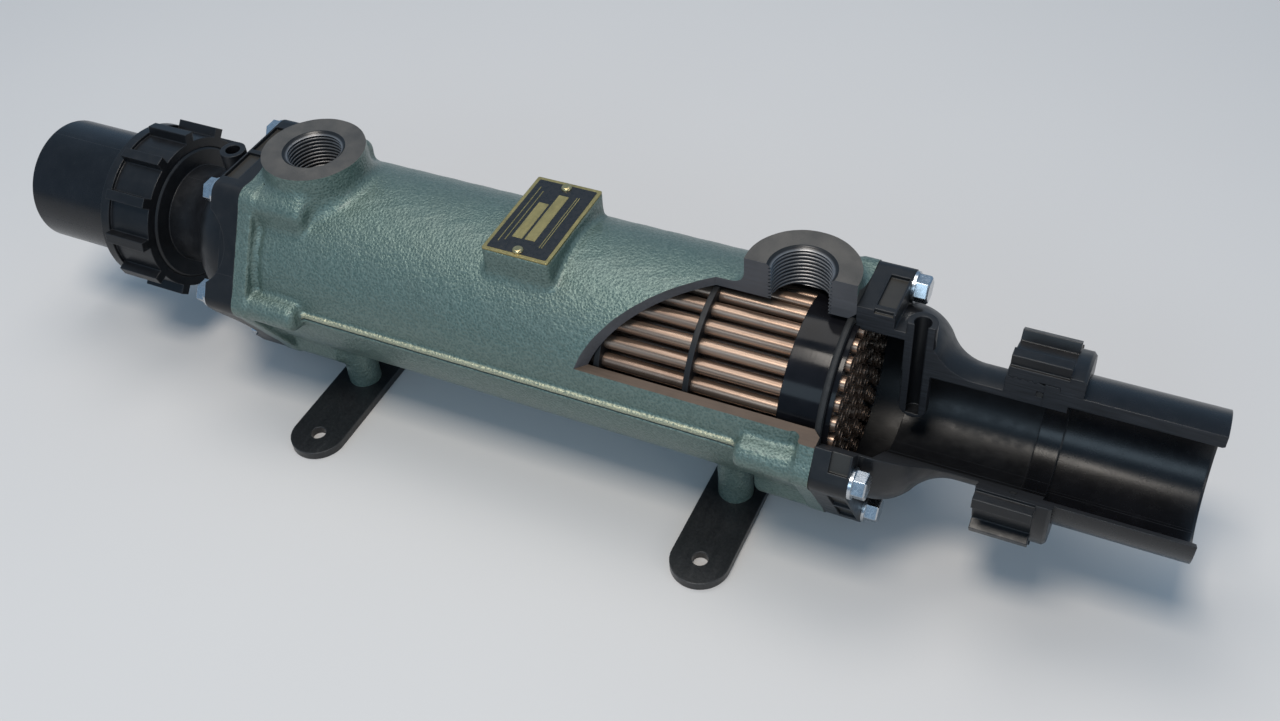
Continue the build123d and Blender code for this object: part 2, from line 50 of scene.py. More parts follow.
# The casting, in millimetres from the middle of the tube axis.
CASTING_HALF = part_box("shell_casting")[1].x / MM
PORT_TOP = (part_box("shell_casting")[1].z - AXIS_H) / MM
BARREL_R = 56.4
BORE_R = 51.0
BORE_CHAMFER = 4.0
PORT_X = 142.9
PORT_R = 29.1
PORT_CREST, PORT_ROOT = 15.15, 16.62  # radii of the thread
PORT_PITCH = 2.309
PORT_TURNS = 10
PORT_THREAD_IN = 1.5      # the first thread ring starts this far below the mouth
PORT_BOTTOM = 40.0
HEX_FLAT = 60.19          # from the axis to a flat of the end flange
HEX_CORNER = 8.0
FLANGE_T = 9.0
BOLT_CIRCLE_R = 59.5
BOLT_BOSS_R = 8.4
BOLT_BOSS_L = 40.5
PAD = (19.75, 32.5, 62.5)  # half length, half width and top of the nameplate pad
RIB = (2.9, 58.6)          # half height and outer radius of the parting-line ribs
FOOT = (123.0, 24.0, 9.8)
FOOT_MID_X = -6.5
FOOT_END = -78.0
SECTION_Y = -3.0
CUT_LEVEL = 17.0
WINDOW_ARC = ((38.0, -56.0), (62.0, -32.5), (99.0, SECTION_Y))  # start, middle and end of the cut's arc
WINDOW_PAST = (200.0, -120.0)  # the cut runs out to here
COVER_CUT = ((-58.2, 17.0), (-20.3, -16.2))  # two points on the sloping cut of the plastic parts
FAR = 140.0                # past everything
VOXEL = 0.9
OVER = 4.0                 # how far the rough casting runs past its machined ends
WAVE = 0.16                # height of the casting's slow unevenness

# How softly each feature runs into the body, and how much its own edges are rounded.
BLEND = {"rib": 1.6, "boss": 3.5, "flange": 2.6, "port": 8.0, "pad": 4.0, "foot": 5.0}
ROUND = {"rib": 0.9, "boss": 4.5, "flange": 1.8, "pad": 1.0, "pad corner": 3.0}

CAMERA_PLACE = (0.3010, -0.4667, 0.5796)
CAMERA_LOOK = (-0.338, 0.629, -0.700)
CAMERA_ROLL = math.radians(4.93)
CAMERA_LENS = 37.59


# ---------------------------------------------------------------- shape of the rough casting
def smooth_union(a, b, k):
    share = np.clip(0.5 + 0.5 * (b - a) / k, 0, 1)
    return b + (a - b) * share - k * share * (1 - share)


def rounded_overlap(distances, radius):
    """Distance to where all the shapes overlap, with its outside edges rounded."""
    lifted = np.stack(distances) + radius
    outside = np.sqrt((np.maximum(lifted, 0) ** 2).sum(0))
    return outside + np.minimum(lifted.max(0), 0) - radius


def hexagon(y, z):
    """Distance to the end flange's outline, a hexagon with round corners on the y axis."""
    flat = HEX_FLAT - HEX_CORNER
    a, b = np.abs(y), np.abs(z)
    fold = 2 * np.minimum(-math.sqrt(0.75) * a + 0.5 * b, 0)
    a = a + fold * math.sqrt(0.75)
    b = b - fold * 0.5
    half_side = flat / math.sqrt(3)
    a = a - np.clip(a, -half_side, half_side)
    b = b - flat
    return np.hypot(a, b) * np.sign(b) - HEX_CORNER


def casting(p):
    """Distance from points to the casting's painted surface, with every joint blended as in a mould."""
    x, y, z = p[:, 0], p[:, 1], p[:, 2]
    radius = np.hypot(y, z)
    from_end = CASTING_HALF - np.abs(x)
    past_end = -from_end - OVER

    # barrel, with a shallow groove behind each flange
    groove = 1.1 * np.exp(-(((from_end - FLANGE_T - 3.6) / 1.7) ** 2))
    body = np.maximum(radius - BARREL_R + groove, past_end)

    # parting-line ribs with a fine flash groove along the middle
    seam = 0.9 * np.exp(-(((z + 0.5) / 0.75) ** 2))
    rib = rounded_overlap([np.abs(z) - RIB[0], radius - RIB[1] + seam, past_end], ROUND["rib"])
    body = smooth_union(body, rib, BLEND["rib"])

    # bosses for the cover bolts: the upper and lower ones run straight into the barrel
    high = BOLT_CIRCLE_R * math.sin(math.pi / 3)
    b, c = np.abs(y), np.abs(z)
    upright = np.hypot(b - BOLT_CIRCLE_R / 2, c - np.clip(c, 25.0, high))
    sideways = np.hypot(b - np.clip(b, 48.0, BOLT_CIRCLE_R), c)
    column = np.minimum(upright, sideways) - BOLT_BOSS_R
    boss = rounded_overlap([column, from_end - BOLT_BOSS_L, past_end], ROUND["boss"])
    body = smooth_union(body, boss, BLEND["boss"])

    # end flange
    flange = rounded_overlap([hexagon(y, z), from_end - FLANGE_T, past_end], ROUND["flange"])
    body = smooth_union(body, flange, BLEND["flange"])

    # side ports
    beside = np.hypot(np.abs(x) - PORT_X, y) - PORT_R
    port = np.maximum(np.maximum(beside, z - PORT_TOP - OVER), -z)
    body = smooth_union(body, port, BLEND["port"])

    # nameplate pad
    corner = rounded_overlap([np.abs(x) - PAD[0], np.abs(y) - PAD[1]], ROUND["pad corner"])
    pad = np.maximum(rounded_overlap([corner, z - PAD[2]], ROUND["pad"]), -z)
    body = smooth_union(body, pad, BLEND["pad"])

    # feet
    column = np.hypot(np.abs(x - FOOT_MID_X) - FOOT[0], np.abs(y) - FOOT[1]) - FOOT[2]
    foot = np.maximum(np.maximum(column, FOOT_END - OVER - z), z)
    return smooth_union(body, foot, BLEND["foot"])


def waves(p):
    """Slow unevenness of a sand casting, between about -1 and 1."""
    x, y, z = p[:, 0], p[:, 1], p[:, 2]
    first = np.sin(0.31 * x + 1.3 * np.sin(0.23 * y) + 0.4) * np.sin(0.37 * z + 0.29 * y)
    second = np.sin(0.83 * x - 0.41 * z + 1.1) * np.sin(0.71 * y + 0.52 * x) * np.sin(0.77 * z)
    return 0.6 * first + 0.4 * second


def slope_of(shape, p):
    """Gradient of a distance at points."""
    step = 0.05
    parts = []
    for axis in np.eye(3):
        parts.append((shape(p + step * axis) - shape(p - step * axis)) / (2 * step))
    return np.stack(parts, 1)


# ---------------------------------------------------------------- mesh helpers
def link(name, mesh):
    made = bpy.data.objects.new(name, mesh)
    scene.collection.objects.link(made)
    return made


def mesh_of(name, bm):
    mesh = bpy.data.meshes.new(name)
    bm.to_mesh(mesh)
    bm.free()
    return mesh


def from_rows(name, points, faces):
    """Object from points in millimetres round the middle of the tube axis."""
    mesh = bpy.data.meshes.new(name)
    placed = [(x * MM, y * MM, z * MM + AXIS_H) for x, y, z in points]
    mesh.from_pydata(placed, [], faces)
    bm = bmesh.new()
    bm.from_mesh(mesh)
    bmesh.ops.recalc_face_normals(bm, faces=bm.faces)
    bm.to_mesh(mesh)
    bm.free()
    return link(name, mesh)


def prism(name, outline, low, high, axis="z"):
    """Closed prism over an outline, along z or x."""
    count = len(outline)
    if axis == "z":
        points = [(a, b, low) for a, b in outline] + [(a, b, high) for a, b in outline]
    else:
        points = [(low, a, b) for a, b in outline] + [(high, a, b) for a, b in outline]
    faces = [tuple(range(count)), tuple(range(2 * count - 1, count - 1, -1))]
    for n in range(count):
        after = (n + 1) % count
        faces.append((n, after, count + after, count + n))
    return from_rows(name, points, faces)


def circle(centre, radius, count):
    spots = [2 * math.pi * n / count for n in range(count)]
    return [(centre[0] + radius * math.cos(t), centre[1] + radius * math.sin(t)) for t in spots]


def lathe(name, profile, centre, count):
    """Closed solid turned about an upright axis from (radius, height) points that start and end on it."""
    points = [(centre[0], centre[1], profile[0][1]), (centre[0], centre[1], profile[-1][1])]
    inner = profile[1:-1]
    for radius, height in inner:
        points += [(a, b, height) for a, b in circle(centre, radius, count)]
    faces = []
    for n in range(count):
        after = (n + 1) % count
        faces.append((0, 2 + n, 2 + after))
        for ring in range(len(inner) - 1):
            here, there = 2 + ring * count, 2 + (ring + 1) * count
            faces.append((here + n, there + n, there + after, here + after))
        last = 2 + (len(inner) - 1) * count
        faces.append((1, last + after, last + n))
    return from_rows(name, points, faces)


def spindle(name, stations, count):
    """Closed solid turned about the tube axis from (x, radius) stations."""
    points = []
    for x, radius in stations:
        points += [(x, a, b) for a, b in circle((0, 0), radius, count)]
    last = (len(stations) - 1) * count
    faces = [tuple(range(count)), tuple(range(last + count - 1, last - 1, -1))]
    for ring in range(0, last, count):
        for n in range(count):
            after = (n + 1) % count
            faces.append((ring + n, ring + after, ring + count + after, ring + count + n))
    return from_rows(name, points, faces)


def discard(thing):
    mesh = thing.data
    bpy.data.objects.remove(thing)
    bpy.data.meshes.remove(mesh)


def joined(name, solids):
    """One object that holds several closed solids."""
    bm = bmesh.new()
    for solid in solids:
        bm.from_mesh(solid.data)
        discard(solid)
    return link(name, mesh_of(name, bm))


def apply_all(thing):
    """Turns an object's modifiers into plain mesh."""
    graph = bpy.context.evaluated_depsgraph_get()
    made = bpy.data.meshes.new_from_object(thing.evaluated_get(graph), depsgraph=graph)
    thing.modifiers.clear()
    old = thing.data
    thing.data = made
    bpy.data.meshes.remove(old)


def cut(thing, cutter, operation="DIFFERENCE"):
    """Cuts thing by a closed solid; the new faces take the cutter's material."""
    step = thing.modifiers.new("cut", "BOOLEAN")
    step.object = cutter
    step.operation = operation
    step.solver = "MANIFOLD"
    step.material_mode = "TRANSFER"
    apply_all(thing)
    discard(cutter)


def dress(thing, *materials):
    thing.data.materials.clear()
    for material in materials:
        thing.data.materials.append(material)


# ---------------------------------------------------------------- material helpers
class Sheet:
    """The node tree of one material. Each call adds a node and gives back its main output."""

    def __init__(self, name):
        self.material = bpy.data.materials.new(name)
        self.material.use_nodes = True
        self.tree = self.material.node_tree
        self.tree.nodes.clear()
        self.place = self.node("ShaderNodeTexCoord").outputs["Object"]

    def node(self, kind, inputs=None, **settings):
        made = self.tree.nodes.new(kind)
        for key, value in settings.items():
            setattr(made, key, value)
        for key, value in (inputs or {}).items():
            if isinstance(value, bpy.types.NodeSocket):
                self.tree.links.new(value, made.inputs[key])
            else:
                made.inputs[key].default_value = value
        return made

    def math(self, operation, a, b=0.0, c=0.0):
        return self.node("ShaderNodeMath", {0: a, 1: b, 2: c}, operation=operation).outputs[0]

    def hypot(self, a, b):
        return self.math("SQRT", self.math("ADD", self.math("POWER", a, 2.0), self.math("POWER", b, 2.0)))

    def stretched(self, scale):
        return self.node("ShaderNodeMapping", {"Vector": self.place, "Scale": scale}).outputs[0]

    def noise(self, scale, detail=3.0, rough=0.5, where=None, bend=0.0):
        inputs = {"Vector": where or self.place, "Scale": scale, "Detail": detail, "Roughness": rough}
        inputs["Distortion"] = bend
        return self.node("ShaderNodeTexNoise", inputs).outputs["Fac"]

    def cells(self, scale, smooth=0.6, where=None):
        inputs = {"Vector": where or self.place, "Scale": scale, "Smoothness": smooth}
        return self.node("ShaderNodeTexVoronoi", inputs, feature="SMOOTH_F1").outputs["Distance"]

    def rescale(self, value, low, high, to_low=0.0, to_high=1.0):
        inputs = {"Value": value, "From Min": low, "From Max": high, "To Min": to_low, "To Max": to_high}
        return self.node("ShaderNodeMapRange", inputs).outputs[0]

    def mix(self, share, a, b):
        made = self.node("ShaderNodeMix", data_type="RGBA")
        for socket, value in zip((made.inputs[0], made.inputs[6], made.inputs[7]), (share, a, b)):
            if isinstance(value, bpy.types.NodeSocket):
                self.tree.links.new(value, socket)
            elif isinstance(value, tuple):
                socket.default_value = (*value, 1.0)
            else:
                socket.default_value = value
        return made.outputs[2]

    def blend(self, share, a, b):
        """Plain number between a and b."""
        return self.math("ADD", self.math("MULTIPLY", share, b), self.math("MULTIPLY", self.flip(share), a))

    def flip(self, value):
        return self.math("SUBTRACT", 1.0, value)

    def along(self, direction):
        """Distance of the point along a direction, from the tube axis, in metres."""
        inputs = {0: self.place, 1: (0.0, 0.0, -AXIS_H)}
        centred = self.node("ShaderNodeVectorMath", inputs, operation="ADD").outputs[0]
        inputs = {0: centred, 1: direction}
        return self.node("ShaderNodeVectorMath", inputs, operation="DOT_PRODUCT").outputs["Value"]

    def near(self, value, centre, half):
        """1 where value is within half of centre."""
        gap = self.math("ABSOLUTE", self.math("SUBTRACT", value, centre))
        return self.math("LESS_THAN", gap, half)

    def bump(self, height, distance, strength=1.0, normal=None):
        inputs = {"Height": height, "Distance": distance, "Strength": strength}
        if normal is not None:
            inputs["Normal"] = normal
        return self.node("ShaderNodeBump", inputs).outputs[0]

    def round_edges(self, radius):
        return self.node("ShaderNodeBevel", {"Radius": radius}, samples=6).outputs[0]

    def edges(self, radius):
        """1 on worn edges: where the rounded normal leaves the true one."""
        true = self.node("ShaderNodeNewGeometry").outputs["Normal"]
        inputs = {0: true, 1: self.round_edges(radius)}
        same = self.node("ShaderNodeVectorMath", inputs, operation="DOT_PRODUCT").outputs["Value"]
        return self.rescale(same, 0.995, 0.8)

    def finish(self, colour, rough, metal=0.0, normal=None, coat=0.0, coat_rough=0.2, specular=0.5):
        inputs = {"Base Color": colour if isinstance(colour, bpy.types.NodeSocket) else (*colour, 1.0)}
        inputs.update({"Roughness": rough, "Metallic": metal, "Coat Weight": coat})
        inputs.update({"Coat Roughness": coat_rough, "Specular IOR Level": specular})
        if normal is not None:
            inputs["Normal"] = normal
        shader = self.node("ShaderNodeBsdfPrincipled", inputs).outputs[0]
        self.node("ShaderNodeOutputMaterial", {"Surface": shader})
        return self.material


def hammered_paint():
    """Metallic hammered enamel: small round dimples with the flake gathered between them."""
    s = Sheet("hammered_paint")
    dimples = s.cells(720, 0.75)
    pores = s.noise(1400, 3.0, 0.55)
    cloud = s.noise(26, 3.0, 0.6)
    flake = s.noise(1500, 2.0, 0.6)
    height = s.math("ADD", s.math("MULTIPLY", dimples, 0.75), s.math("MULTIPLY", pores, 0.5))
    deep = s.rescale(height, 0.35, 0.75)
    base = s.mix(deep, (0.062, 0.109, 0.095), (0.128, 0.183, 0.159))
    base = s.mix(s.rescale(flake, 0.5, 0.75, 0.0, 0.3), base, (0.26, 0.31, 0.28))
    base = s.mix(s.rescale(cloud, 0.35, 0.7, 0.0, 0.3), base, (0.125, 0.155, 0.130))
    point = s.node("ShaderNodeNewGeometry").outputs["Pointiness"]
    worn = s.rescale(point, 0.53, 0.60, 0.0, 0.55)
    # painted shade: the paint turns darker in the concave creases, where pointiness is low
    crease_shade = s.rescale(point, 0.47, 0.42, 0.0, 0.75)
    base = s.mix(worn, base, (0.30, 0.30, 0.20))
    base = s.mix(crease_shade, base, (0.022, 0.045, 0.038))

    # parting line: along the rib's upper shoulder, paint rubbed through together with a painted highlight;
    # painted shade in the groove below it
    y, z = s.along((0.0, 1.0, 0.0)), s.along((0.0, 0.0, 1.0))
    reach = s.hypot(y, z)
    proud = s.math("MULTIPLY", s.rescale(reach, 0.0568, 0.0578), s.near(reach, 0.0570, 0.0022))
    shoulder = s.math("MULTIPLY", s.near(z, 0.0016, 0.0015), proud)
    # partly worn paint, partly a painted highlight on the upper shoulder
    rub_and_highlight = s.math("MULTIPLY", shoulder, s.rescale(pores, 0.38, 0.6, 0.2, 0.95))
    base = s.mix(rub_and_highlight, base, (0.52, 0.50, 0.33))
    # painted shade: a dark line along the flash groove below the rib's shoulder
    base = s.mix(s.math("MULTIPLY", s.near(z, -0.0005, 0.0006), proud), base, (0.012, 0.026, 0.024))
    rough = s.rescale(pores, 0.3, 0.7, 0.30, 0.46)
    normal = s.bump(height, 0.0009, 0.6)
    return s.finish(base, rough, 0.42, normal, 0.2, 0.25)


def cut_metal(name, tone):
    """Sawn and milled casting, brown-grey, with fine lines from the cutter."""
    s = Sheet(name)
    lines = s.noise(900, 2.0, 0.5, s.stretched((0.05, 1.0, 1.0)))
    patch = s.noise(60, 3.0)
    dark = tuple(0.72 * c for c in tone)
    colour = s.mix(s.rescale(patch, 0.3, 0.7), dark, tone)
    colour = s.mix(s.rescale(lines, 0.4, 0.8, 0.0, 0.4), colour, tuple(1.35 * c for c in tone))
    rough = s.rescale(lines, 0.3, 0.7, 0.42, 0.62)
    return s.finish(colour, rough, 0.35, s.bump(lines, 0.00012, 0.5))


def turned_metal(name, tone, rough_range, groove_shade=0.0):
    """Faced port tops and threads: rings left by the tool, and painted shade in the thread grooves."""
    s = Sheet(name)
    apart = s.node("ShaderNodeSeparateXYZ", {0: s.place})
    off = s.math("SUBTRACT", s.math("ABSOLUTE", apart.outputs["X"]), PORT_X * MM)
    reach = s.hypot(off, apart.outputs["Y"])
    rings = s.math("SINE", s.math("MULTIPLY", reach, 2 * math.pi / 0.0007))
    patch = s.noise(90, 4.0)
    speck = s.noise(1400, 2.0)
    colour = s.mix(s.rescale(patch, 0.3, 0.7), tuple(0.75 * c for c in tone), tone)
    colour = s.mix(s.rescale(speck, 0.62, 0.75, 0.0, 0.5), colour, tuple(0.4 * c for c in tone))
    # painted shade: darker towards the thread root, scaled by groove_shade
    colour = s.mix(s.rescale(reach, 0.0153, 0.0164, 0.0, groove_shade), colour, (0.008, 0.008, 0.008))
    rough = s.rescale(patch, 0.3, 0.7, *rough_range)
    height = s.math("ADD", s.math("MULTIPLY", rings, 0.25), s.math("MULTIPLY", speck, 0.5))
    return s.finish(colour, rough, 0.55, s.bump(height, 0.00008, 0.6))


def inner_casting():
    s = Sheet("inner_casting")
    grain = s.noise(700, 4.0, 0.65)
    patch = s.noise(40, 3.0)
    colour = s.mix(s.rescale(patch, 0.3, 0.7), (0.045, 0.045, 0.047), (0.085, 0.080, 0.075))
    return s.finish(colour, s.rescale(grain, 0.3, 0.7, 0.5, 0.75), 0.3, s.bump(grain, 0.0003, 0.7))


# ---------------------------------------------------------------- the finished casting piece
def window_outline():
    """Outline, seen from above, of what the display cut takes away: an arc, then straight to the end."""
    start, bulge, end = (Vector(point) for point in WINDOW_ARC)
    a, b = bulge - start, end - start
    twice = 2 * (a.x * b.y - a.y * b.x)
    centre_x = (b.y * a.length_squared - a.y * b.length_squared) / twice
    centre_y = (a.x * b.length_squared - b.x * a.length_squared) / twice
    centre = start + Vector((centre_x, centre_y))
    first = math.atan2(start.y - centre.y, start.x - centre.x)
    last = math.atan2(end.y - centre.y, end.x - centre.x)
    if last > first:
        last -= 2 * math.pi
    steps = 48
    radius = (start - centre).length
    outline = []
    for n in range(steps + 1):
        t = first + (last - first) * n / steps
        outline.append((centre.x + radius * math.cos(t), centre.y + radius * math.sin(t)))
    far_x, far_y = WINDOW_PAST
    outline += [(far_x, SECTION_Y), (far_x, far_y), (start.x, far_y)]
    return outline


def port_profile():
    """Half section of a port's bore: chamfer, ring thread, then a plain length."""
    high = PORT_TOP + OVER + 3
    profile = [(0, high), (PORT_ROOT + OVER + 4, high)]
    profile += [(PORT_ROOT + 2.0, PORT_TOP + 1.0), (PORT_ROOT, PORT_TOP - 1.0)]
    for n in range(PORT_TURNS):
        top = PORT_TOP - PORT_THREAD_IN - n * PORT_PITCH
        profile += [(PORT_CREST, top - PORT_PITCH / 8), (PORT_ROOT, top - 7 * PORT_PITCH / 16)]
        profile += [(PORT_ROOT, top - 9 * PORT_PITCH / 16), (PORT_CREST, top - 7 * PORT_PITCH / 8)]
    return profile + [(PORT_CREST, PORT_BOTTOM), (0, PORT_BOTTOM)]


def build_casting():
    half = CASTING_HALF + OVER
    solids = [prism("barrel", circle((0, 0), BARREL_R, 128), -half, half, "x")]
    corner = HEX_FLAT / math.cos(math.pi / 6) - 1.0
    hexa = circle((0, 0), corner, 6)
    for side in (-1, 1):
        solids.append(prism("end", hexa, side * (CASTING_HALF - FLANGE_T), side * half, "x"))
        for n in range(6):
            angle = n * math.pi / 3
            middle = (BOLT_CIRCLE_R * math.cos(angle), BOLT_CIRCLE_R * math.sin(angle))
            inner = side * (CASTING_HALF - BOLT_BOSS_L)
            solids.append(prism("boss", circle(middle, BOLT_BOSS_R, 24), inner, side * half, "x"))
        solids.append(prism("port", circle((side * PORT_X, 0), PORT_R, 96), 0, PORT_TOP + OVER))
        for y in (-FOOT[1], FOOT[1]):
            middle = (FOOT_MID_X + side * FOOT[0], y)
            solids.append(prism("foot", circle(middle, FOOT[2], 48), FOOT_END - OVER, -5))
    x, y, top = PAD
    solids.append(prism("pad", [(-x, -y), (x, -y), (x, y), (-x, y)], 5, top))
    for side in (-1, 1):
        near, far = side * 50.0, side * RIB[1]
        outline = [(near, -RIB[0]), (far, -RIB[0]), (far, RIB[0]), (near, RIB[0])]
        solids.append(prism("rib", outline, -half, half, "x"))
    shell = joined("cast_shell", solids)
    step = shell.modifiers.new("voxels", "REMESH")
    step.mode = "VOXEL"
    step.voxel_size = VOXEL * MM
    apply_all(shell)

    # move every point onto the blended surface, then add the casting's slow unevenness
    mesh = shell.data
    flat = np.empty(len(mesh.vertices) * 3)
    mesh.vertices.foreach_get("co", flat)
    p = flat.reshape(-1, 3) / MM - np.array([0, 0, AXIS_H / MM])
    for _ in range(5):
        lean = slope_of(casting, p)
        size = np.maximum((lean**2).sum(1), 0.2)
        push = np.clip(casting(p) / size, -1.5, 1.5)
        p = p - push[:, None] * lean
    lean = slope_of(casting, p)
    lean /= np.maximum(np.sqrt((lean**2).sum(1)), 0.2)[:, None]
    p = p + (WAVE * waves(p))[:, None] * lean
    placed = (p + np.array([0, 0, AXIS_H / MM])) * MM
    mesh.vertices.foreach_set("co", placed.ravel())
    mesh.update()

    paint = hammered_paint()
    faced = turned_metal("faced_metal", (0.125, 0.112, 0.098), (0.36, 0.5))
    threaded = turned_metal("threaded_metal", (0.22, 0.22, 0.225), (0.26, 0.40), 0.9)
    inside = inner_casting()
    sawn_level = cut_metal("sawn_level", (0.122, 0.086, 0.063))
    sawn_upright = cut_metal("sawn_upright", (0.095, 0.093, 0.098))
    dress(shell, paint)

    box = [(-CASTING_HALF, -FAR), (CASTING_HALF, -FAR), (CASTING_HALF, FAR), (-CASTING_HALF, FAR)]
    keep = prism("keep", box, FOOT_END, PORT_TOP)
    dress(keep, faced)
    cut(shell, keep, "INTERSECT")
    mouth, inner = CASTING_HALF + 1.0, CASTING_HALF - BORE_CHAMFER
    wide = BORE_R + BORE_CHAMFER + 1.0
    bore = spindle("bore", [(-mouth, wide), (-inner, BORE_R), (inner, BORE_R), (mouth, wide)], 192)
    dress(bore, inside)
    cut(shell, bore)
    for side in (-1, 1):
        port = lathe("port", port_profile(), (side * PORT_X, 0), 128)
        dress(port, threaded)
        cut(shell, port)
    window = prism("window", window_outline(), CUT_LEVEL, FAR)
    dress(window, sawn_upright, sawn_level)
    window.data.polygons[0].material_index = 1
    cut(shell, window)
    shell.data.set_sharp_from_angle(angle=math.radians(32))
    for face in shell.data.polygons:
        face.use_smooth = True
    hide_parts("shell_casting")
    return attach(shell, "body")


build_casting()


# ---------------------------------------------------------------- finishes of the CAD nodes
def black_plastic(name, tone=(0.0052, 0.0054, 0.0062), shine=(0.32, 0.46), recess=False):
    """Injection-moulded black plastic; where the display cut passes it is bare, sawn and matt."""
    s = Sheet(name)
    grain = s.noise(1300, 2.0, 0.5)
    flow = s.noise(45, 4.0, 0.6)
    rub = s.noise(180, 4.0, 0.6)
    y, z = s.along((0.0, 1.0, 0.0)), s.along((0.0, 0.0, 1.0))
    upright = s.near(y, SECTION_Y * MM, 0.00008)
    (outer_y, outer_z), (inner_y, inner_z) = COVER_CUT
    across, rise = inner_y - outer_y, outer_z - inner_z
    long = math.hypot(across, rise)
    lean = s.math("ADD", s.math("MULTIPLY", y, rise / long), s.math("MULTIPLY", z, across / long))
    offset = (inner_y * rise + inner_z * across) / long * MM
    sloping = s.near(lean, offset, 0.00008)
    sawn = s.math("MAXIMUM", upright, sloping)
    colour = s.mix(s.rescale(flow, 0.3, 0.7), tone, tuple(1.9 * c for c in tone))
    colour = s.mix(s.rescale(rub, 0.6, 0.8, 0.0, 0.15), colour, (0.030, 0.029, 0.028))
    edge = s.edges(0.0012)
    colour = s.mix(s.math("MULTIPLY", edge, 0.3), colour, (0.05, 0.05, 0.053))
    if recess:
        faces = []
        for n in range(3):
            angle = math.radians(30 + 60 * n)
            faces.append(s.math("ABSOLUTE", s.along((0.0, math.cos(angle), math.sin(angle)))))
        reach = s.math("MAXIMUM", s.math("MAXIMUM", faces[0], faces[1]), faces[2])
        length = s.math("ABSOLUTE", s.along((1.0, 0.0, 0.0)))
        deep = s.near(reach, (HEX_FLAT - 2.0) * MM, 0.0001)
        lit_recess_floor = s.math("MULTIPLY", deep, s.near(length, 0.1853, 0.0048))
        # painted light: the floors of the flange recesses get a lighter brown, as they look when lit
        colour = s.mix(lit_recess_floor, colour, (0.030, 0.027, 0.023))
    saw = s.noise(1000, 2.0, 0.5, s.stretched((0.06, 1.0, 1.0)))
    sawn_colour = s.mix(s.rescale(saw, 0.35, 0.75), (0.011, 0.012, 0.014), (0.026, 0.028, 0.033))
    colour = s.mix(sawn, colour, sawn_colour)
    rough = s.blend(sawn, s.rescale(rub, 0.3, 0.7, *shine), 0.62)
    marks = s.math("MULTIPLY", s.math("MULTIPLY", saw, sawn), 1.2)
    height = s.math("ADD", s.math("MULTIPLY", grain, 0.4), marks)
    normal = s.bump(height, 0.00012, 0.5, s.round_edges(0.0009))
    return s.finish(colour, rough, 0.0, normal, 0.0, 0.2, 0.36)


def copper_tube():
    s = Sheet("copper_alloy_tube")
    streak = s.noise(420, 3.0, 0.55, s.stretched((0.03, 1.0, 1.0)))
    each = s.noise(95, 1.0, 0.4, s.stretched((0.12, 1.0, 1.0)))
    stain = s.noise(38, 5.0, 0.7)
    colour = s.mix(s.rescale(each, 0.3, 0.7), (0.215, 0.141, 0.102), (0.305, 0.212, 0.156))
    colour = s.mix(s.rescale(streak, 0.5, 0.85, 0.0, 0.3), colour, (0.40, 0.33, 0.28))
    colour = s.mix(s.rescale(stain, 0.55, 0.8, 0.0, 0.5), colour, (0.12, 0.072, 0.048))
    rough = s.rescale(streak, 0.3, 0.7, 0.24, 0.34)
    return s.finish(colour, rough, 0.74, s.bump(streak, 0.00001, 0.4, s.round_edges(0.0004)))


def glossy_plate():
    s = Sheet("black_tube_plate")
    turned = s.noise(800, 2.0, 0.5, s.stretched((1.0, 0.04, 0.04)))
    patch = s.noise(55, 4.0)
    colour = s.mix(s.rescale(patch, 0.3, 0.7), (0.004, 0.004, 0.005), (0.009, 0.009, 0.011))
    rough = s.rescale(patch, 0.3, 0.7, 0.09, 0.16)
    normal = s.bump(turned, 0.00002, 0.3, s.round_edges(0.0006))
    return s.finish(colour, rough, 0.0, normal, 0.0, 0.08, 0.16)


def rubber():
    s = Sheet("seal_rubber")
    grain = s.noise(1500, 3.0, 0.6)
    dust = s.noise(200, 5.0, 0.7)
    colour = s.mix(s.rescale(dust, 0.5, 0.8, 0.0, 0.6), (0.012, 0.012, 0.012), (0.045, 0.043, 0.040))
    return s.finish(colour, s.rescale(grain, 0.3, 0.7, 0.6, 0.8), 0.0, s.bump(grain, 0.00008, 0.6))


def plated_steel(name, tone, rough_range):
    s = Sheet(name)
    spangle = s.cells(500, 0.2)
    scuff = s.noise(900, 4.0, 0.65)
    stain = s.noise(150, 4.0, 0.6)
    colour = s.mix(s.rescale(spangle, 0.2, 0.7), tone, tuple(min(1.0, 1.2 * c) for c in tone))
    colour = s.mix(s.rescale(stain, 0.6, 0.85, 0.0, 0.5), colour, tuple(0.45 * c for c in tone))
    rough = s.rescale(scuff, 0.3, 0.7, *rough_range)
    return s.finish(colour, rough, 1.0, s.bump(scuff, 0.00004, 0.35, s.round_edges(0.0005)))


def strap_paint():
    s = Sheet("black_strap_paint")
    peel = s.noise(650, 3.0, 0.5)
    scratch = s.noise(300, 5.0, 0.7, s.stretched((1.0, 0.15, 1.0)))
    colour = s.mix(s.rescale(peel, 0.3, 0.7), (0.006, 0.006, 0.007), (0.014, 0.014, 0.015))
    colour = s.mix(s.rescale(scratch, 0.66, 0.8, 0.0, 0.5), colour, (0.07, 0.07, 0.07))
    colour = s.mix(s.math("MULTIPLY", s.edges(0.0012), 0.3), colour, (0.09, 0.09, 0.09))
    rough = s.rescale(scratch, 0.3, 0.7, 0.30, 0.46)
    return s.finish(colour, rough, 0.0, s.bump(peel, 0.0002, 0.5, s.round_edges(0.0010)), 0.15, 0.2)


def brass(name, tone, rough_range):
    s = Sheet(name)
    brushed = s.noise(1200, 3.0, 0.55, s.stretched((1.0, 0.05, 1.0)))
    tarnish = s.noise(160, 5.0, 0.65)
    colour = s.mix(s.rescale(tarnish, 0.35, 0.75, 0.0, 0.7), tone, tuple(0.55 * c for c in tone))
    rough = s.rescale(brushed, 0.3, 0.7, *rough_range)
    return s.finish(colour, rough, 0.9, s.bump(brushed, 0.00005, 0.5, s.round_edges(0.0004)))


